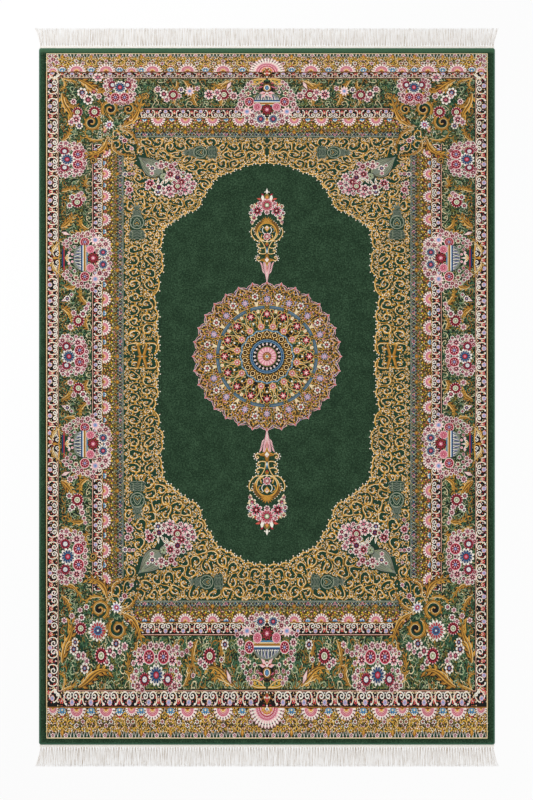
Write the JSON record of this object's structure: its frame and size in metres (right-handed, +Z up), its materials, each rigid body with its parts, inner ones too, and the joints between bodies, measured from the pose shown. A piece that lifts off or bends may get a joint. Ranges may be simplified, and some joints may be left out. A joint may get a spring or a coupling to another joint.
{
  "type": "wool and silk carpet",
  "caption": "Flat oblong room carpet with a cut wool and silk pile, a round floral medallion, rich borders, and a woven web and knotted fringe at each end.",
  "frame": {"origin": "centre of the underside of the pile field, on the surface that the carpet lies on", "axes": "+Z up out of the pile, +Y along the carpet's length towards its far end, +X to the right across its width"},
  "size_m": [1.9966, 3.183, 0.008],
  "materials": {
    "pile": "clipped wool pile with silk highlights, soft sheen",
    "web": "flat-woven undyed warp and weft, matt",
    "fringe": "loose undyed warp yarn, slight silk lustre"
  },
  "bodies": {
    "root": {"carpet_pile": "pile", "end_web_far": "web", "end_web_near": "web", "fringe_far": "fringe", "fringe_near": "fringe"}
  },
  "joints": []
}
